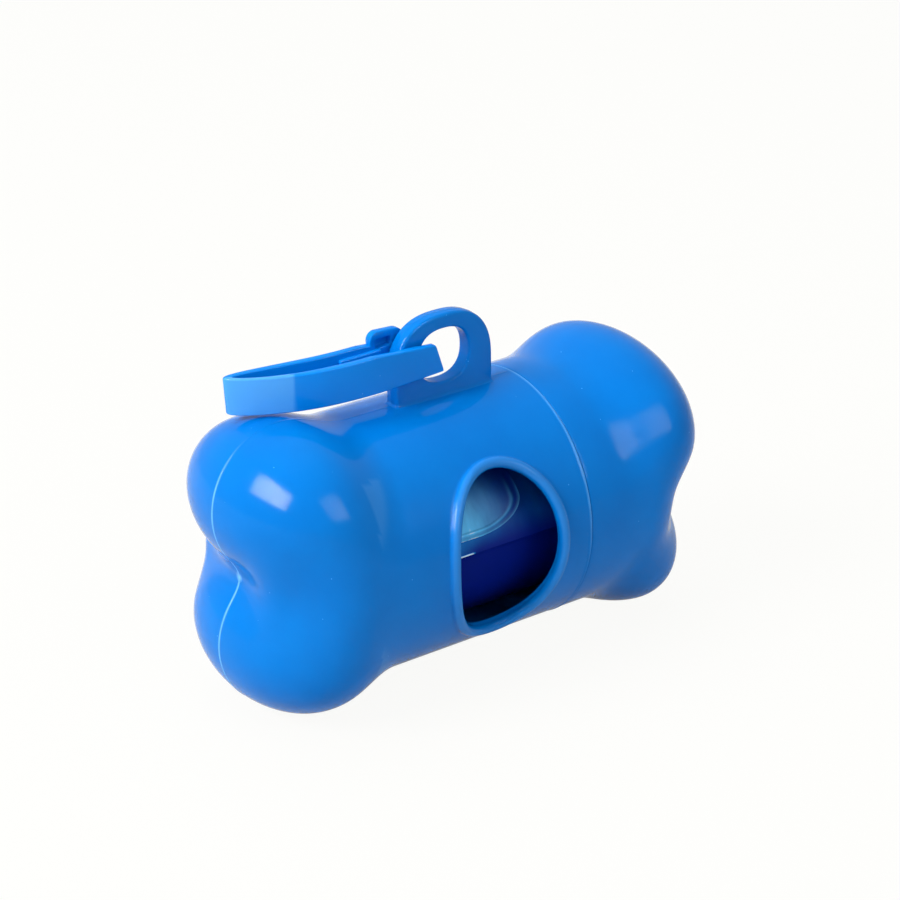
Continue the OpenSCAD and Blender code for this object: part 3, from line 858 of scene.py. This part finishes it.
def makeTab():
    bm = bmesh.new()
    front, back = armY - strap["t"] / 2 - tab["proud"], armY + strap["t"] / 2 + tab["proud"]
    edge = tab["round"]
    rows = [endLoop(0.9, back), endLoop(0.6, back)]
    for a in (radians(turn) for turn in (0, 30, 60, 90)):
        rows.append(endLoop(edge - edge * sin(a), back - edge + edge * cos(a)))
    for a in (radians(turn) for turn in (0, 30, 60, 90)):
        rows.append(endLoop(edge - edge * cos(a), front + edge - edge * sin(a)))
    floor = back - tab["web"]
    for outset, y in ((0.5, front), (0.18, front), (0.05, front + 0.04), (0, front + 0.15),
                      (0, floor - 0.1), (-0.1, floor), (-0.4, floor)):
        rows.append(pocketLoop(outset, y))
    made = loft(bm, rows)
    capRow(bm, made[0])
    capRow(bm, made[-1])
    return makePiece("strapTab", bm, mouldedPolypropylene, "clip")


makeTab()


# The ledge lies along the inside of the fixed arm, beside the eye.
ledge = {"len": 6.5, "t": 0.7, "h": 1.2, "drop": 1, "steps": 16, "corner": 0.25, "roundEnds": 0.2}


def makeLedge():
    bm = bmesh.new()
    start = eye["halfW"] + 2 * strap["fit"]
    high = strap["top"] - ledge["drop"]
    pairs = []
    for k in range(ledge["steps"] + 1):
        u = start + ledge["len"] * k / ledge["steps"]
        inner = driftAt(u) + armY - strap["t"] / 2 - ledge["t"]
        pairs.append(((u, inner), (u, driftAt(u) + armY)))

    def edges(plan):
        return high - ledge["h"], high

    def place(plan, w, i):
        return strapPoint(plan.x, plan.y, w)

    sweepBand(bm, pairs, edges, ledge["corner"], place, ledge["roundEnds"])
    return makePiece("strapLedge", bm, mouldedPolypropylene, "clip")


makeLedge()


# The roll of bags: the wound film, and the two bags that lie loose on it and show in the hole.
roll = {
    "r": 13.6, "w": 58, "step": 0.5, "stepAt": 82, "coreR": 5.5, "segments": 180, "round": 0.15,
    "turns": 14, "turnDip": 0.06, "turnsTo": 1.4, "streak": 0.03,
}
sheet = {
    "filmT": 0.07, "along": 130, "across": 110, "liftLen": 1.2, "streak": 0.01, "sideS": (22, 36),
    "hemAt": 0.8, "hemH": 0.14, "hemW": 0.2, "edgeW": 0.2, "hemS": (9, 4.5),
}
nextSheet = {
    "r": 13.66, "last": 82, "first": -150, "side": 28.99, "corner": (0.01, 0.01), "lift": 0.1, "hem": False,
    # pale to edgeX paint light on this bag and shade near its free end; the glint keys paint a highlight
    "pale": 0.85, "paleFall": 0.7, "paleX": (-9, 6), "edgeS": (4, 0), "edgeX": (-8, -3),
    "glint": 1.6, "glintX": ((-7.2, -6.9), (-3.9, -4.3)), "glintS": (0.34, 0.12),
}
leadSheet = {
    "r": 14.0, "last": 71.8, "first": -130, "side": 6.1, "corner": (8.8, 4.5), "lift": 0.25, "hem": True,
    # pale to paleR paint a patch of light on this bag; the keys after them paint shade on the hem and highlight
    # lines along it
    "pale": 0.95, "paleX": -8, "paleS": 0.95, "paleR": (15, 1),
    "foldTo": 1.1, "foldS": (8, 3), "hemShade": 0.4, "lineHighlight": 0.45, "lineW": 0.18,
}


def rollPoint(x, r, angle):
    # angle from straight up towards the front
    a = radians(angle)
    return (x, -r * sin(a), r * cos(a) - rollDrop)


def streak(x, angle, size):
    # shallow creases that run round the roll
    wave = sin(x * 2.1) + 0.6 * sin(x * 5.3 + 0.6 * sin(angle * 0.05)) + 0.4 * sin(x * 11.7 + angle * 0.02)
    return size * wave / 2


def makeRoll():
    bm = bmesh.new()
    half, count = roll["w"] / 2, roll["segments"]

    def loop(x, inset):
        out = []
        for i in range(count):
            a = 360 * i / count
            r = roll["r"] - roll["step"] * a / 360 - inset
            out.append(rollPoint(x, r + streak(x, a, roll["streak"]), roll["stepAt"] - a))
        return out

    def ring(x, r):
        return [rollPoint(x, r, roll["stepAt"] - 360 * i / count) for i in range(count)]

    ends = []
    steps = 2 * roll["turns"]
    for k in range(steps + 1):  # the wound layers show as fine steps on the end faces
        r = roll["coreR"] + 0.1 + (roll["r"] - roll["turnsTo"] - roll["coreR"]) * k / steps
        ends.append((r, roll["turnDip"] * (k % 2)))
    edge = roll["round"]
    corner = [(half, 0.6), (half, edge), (half - edge * 0.3, edge * 0.3), (half - edge, 0)]
    rows = [ring(-half + dip, r) for r, dip in ends]
    rows += [loop(-x, inset) for x, inset in corner]
    rows += [loop(x / 2, 0) for x in range(1 - roll["w"], roll["w"])]
    rows += [loop(x, inset) for x, inset in reversed(corner)]
    rows += [ring(half - dip, r) for r, dip in reversed(ends)]
    rows.append(rows[0])
    loft(bm, rows)
    return makePiece("bagFilm", bm, woundFilm, "roll", ("bag_roll",))


def makeSheet(name, shape, material, paintedLightAt, replaces=()):
    # a folded bag that lies on the roll: its free end is at angle last, with a rounded corner towards the cap
    bm = bmesh.new()
    half, base, side = roll["w"] / 2, shape["r"], shape["side"]
    length = radians(shape["last"] - shape["first"]) * base
    wide, high = shape["corner"]

    def awayFromEdge(x, s):
        # 0 on the rounded corner's outline and more inside it
        return (1 - hypot(max(0.0, x - side + wide) / wide, max(0.0, high - s) / high)) * high

    def sideAt(s):
        out = side + (half - side) * fade(*sheet["sideS"], s)
        if s < high:
            out -= wide - wide * sqrt(max(0.0, 1 - ((high - s) / high) ** 2))
        return out

    bmesh.ops.create_grid(bm, x_segments=sheet["along"], y_segments=sheet["across"], size=0.5)
    for vert in bm.verts:
        s = length * (0.5 - vert.co.x) ** 1.8  # closer rows near the free end
        edge = sideAt(s)
        x = edge - (edge + half) * (0.5 - vert.co.y) ** 1.5
        r = base + shape["lift"] * exp(-s / sheet["liftLen"]) + streak(x, s, sheet["streak"])
        if shape["hem"]:
            away = awayFromEdge(x, s)
            lines = exp(-((away - sheet["hemAt"]) / sheet["hemW"]) ** 2) + exp(-(away / sheet["edgeW"]) ** 2)
            r += sheet["hemH"] * fade(*sheet["hemS"], s) * lines
        vert.co = rollPoint(x, r, shape["last"] - degrees(s / base))
    bmesh.ops.recalc_face_normals(bm, faces=bm.faces)
    bmesh.ops.solidify(bm, geom=bm.faces[:], thickness=sheet["filmT"])
    piece = makePiece(name, bm, material, "roll", replaces)

    def valueAt(p):
        angle = degrees(atan2(-p.y, p.z + rollDrop))
        s = radians(shape["last"] - angle) * base
        return paintedLightAt(p.x, s, awayFromEdge(p.x, s) if s >= 0 else 0.0)

    paintPoints(piece, "paintedLight", valueAt)


def nextPaintedLight(x, s, away):
    # painted light: palest beside the hole's left edge and darker to the right, with painted shade near the free
    # end and a painted glint on a short length of it
    shape = nextSheet
    glint = shape["glint"] * fade(*shape["glintS"], s)
    for ends in shape["glintX"]:
        glint *= fade(*ends, x)
    dark = fade(*shape["edgeS"], s) * (0.5 + 0.5 * fade(*shape["edgeX"], x))
    return max((shape["pale"] - shape["paleFall"] * fade(*shape["paleX"], x)) * (1 - dark), glint)


def leadPaintedLight(x, s, away):
    # painted light: palest at the hole's lower left and fading away from it; near the free end the hem gets
    # painted shade, with two painted highlight lines along it
    shape = leadSheet
    body = shape["pale"] * fade(*shape["paleR"], hypot(x - shape["paleX"], shape["paleS"] * s))
    if away < shape["foldTo"]:
        hemPaintShare = fade(*shape["foldS"], s)
        lines = exp(-((away - sheet["hemAt"]) / shape["lineW"]) ** 2) + exp(-(away / shape["lineW"]) ** 2)
        body *= 1 - shape["hemShade"] * hemPaintShare
        body += shape["lineHighlight"] * hemPaintShare * lines
    return body


makeRoll()
makeSheet("nextBag", nextSheet, nextFilm, nextPaintedLight)
makeSheet("leadingBag", leadSheet, leadingFilm, leadPaintedLight, ("leading_bag",))
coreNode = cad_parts["roll_core"]  # the card core is shown as it is built
for slot in coreNode.material_slots:
    slot.material = spiralWoundCard
print("roll made")


studio = {
    "floorSize": 4.0, "floorWhite": "#c8c8c6", "floorGlow": 0.94, "floorGlowColour": "#fffffd", "floorGloss": 0.3,
    "ambient": 0.38, "worldGloss": 0.4,
}


def seenBackdrop(tree, cameraShare, glossShare):
    # the share of plain white that the camera, and a reflection or a clear wall, see
    path = addNode(tree, "ShaderNodeLightPath").outputs
    seen = addNode(tree, "ShaderNodeMath", {0: path["Is Glossy Ray"], 1: path["Is Transmission Ray"]},
                   operation="MAXIMUM")
    indirect = addNode(tree, "ShaderNodeMath", {0: seen.outputs[0]}, operation="MULTIPLY")
    indirect.inputs[1].default_value = glossShare
    direct = addNode(tree, "ShaderNodeMath", {0: path["Is Camera Ray"]}, operation="MULTIPLY")
    direct.inputs[1].default_value = cameraShare
    share = addNode(tree, "ShaderNodeMath", {0: direct.outputs[0], 1: indirect.outputs[0]}, operation="MAXIMUM")
    return share.outputs[0]


def makeFloor():
    bm = bmesh.new()
    bmesh.ops.create_grid(bm, x_segments=1, y_segments=1, size=studio["floorSize"] / 2)
    mesh = bpy.data.meshes.new("floor")
    bm.to_mesh(mesh)
    bm.free()
    material, tree = newMaterial("white_paper_floor")
    matt = addNode(tree, "ShaderNodeBsdfDiffuse")
    matt.inputs["Color"].default_value = linear(studio["floorWhite"])
    glow = addNode(tree, "ShaderNodeEmission", Strength=1.0)
    glow.inputs["Color"].default_value = linear(studio["floorGlowColour"])
    share = seenBackdrop(tree, studio["floorGlow"], studio["floorGloss"])
    mix = addNode(tree, "ShaderNodeMixShader", {0: share, 1: matt.outputs[0], 2: glow.outputs[0]})
    finishMaterial(tree, mix)
    mesh.materials.append(material)
    linkObject("floor", mesh)


makeFloor()


# Two lamps are seen in the gloss alone and draw its highlights; the others light the colours plainly.
lamps = [
    # name, azimuth from the front towards the cap, elevation, distance, width, height, power, seen in gloss
    ("keyLeft", -92, 38, 0.9, 0.55, 0.4, 9.4, False),
    ("fillRight", 12, 36, 0.9, 0.5, 0.5, 1.7, False),
    ("skylight", 180, 66, 1.0, 0.9, 0.9, 6, False),
    ("windowLeft", -92, 38, 0.9, 0.55, 0.4, 95, True),
    ("windowRight", 12, 36, 0.9, 0.5, 0.5, 34, True),
]


def makeLamp(name, azimuth, elevation, distance, wide, high, power, inGloss):
    data = bpy.data.lights.new(name, "AREA")
    data.shape = "RECTANGLE"
    data.size, data.size_y, data.energy = wide, high, power
    lamp = linkObject(name, data)
    a, e = radians(azimuth), radians(elevation)
    direction = Vector((sin(a) * cos(e), -cos(a) * cos(e), sin(e)))
    turn = direction.to_track_quat("Z", "Y").to_matrix().to_4x4()
    lamp.matrix_world = Matrix.Translation(axisPoint + direction * distance) @ turn
    lamp.visible_glossy = inGloss
    lamp.visible_diffuse = not inGloss


for lamp in lamps:
    makeLamp(*lamp)

world = bpy.data.worlds.new("studio")
bpy.context.scene.world = world
world.use_nodes = True
worldTree = world.node_tree
worldTree.nodes.clear()
white = addNode(worldTree, "ShaderNodeBackground", Strength=1.0)
white.inputs["Color"].default_value = (1, 1, 1, 1)
grey = addNode(worldTree, "ShaderNodeBackground", Strength=studio["ambient"])
grey.inputs["Color"].default_value = (1, 1, 1, 1)
seenShare = seenBackdrop(worldTree, 1.0, studio["worldGloss"])
backdrop = addNode(worldTree, "ShaderNodeMixShader", {0: seenShare, 1: grey.outputs[0], 2: white.outputs[0]})
addNode(worldTree, "ShaderNodeOutputWorld", {"Surface": backdrop.outputs[0]})
print("lamps and world set")
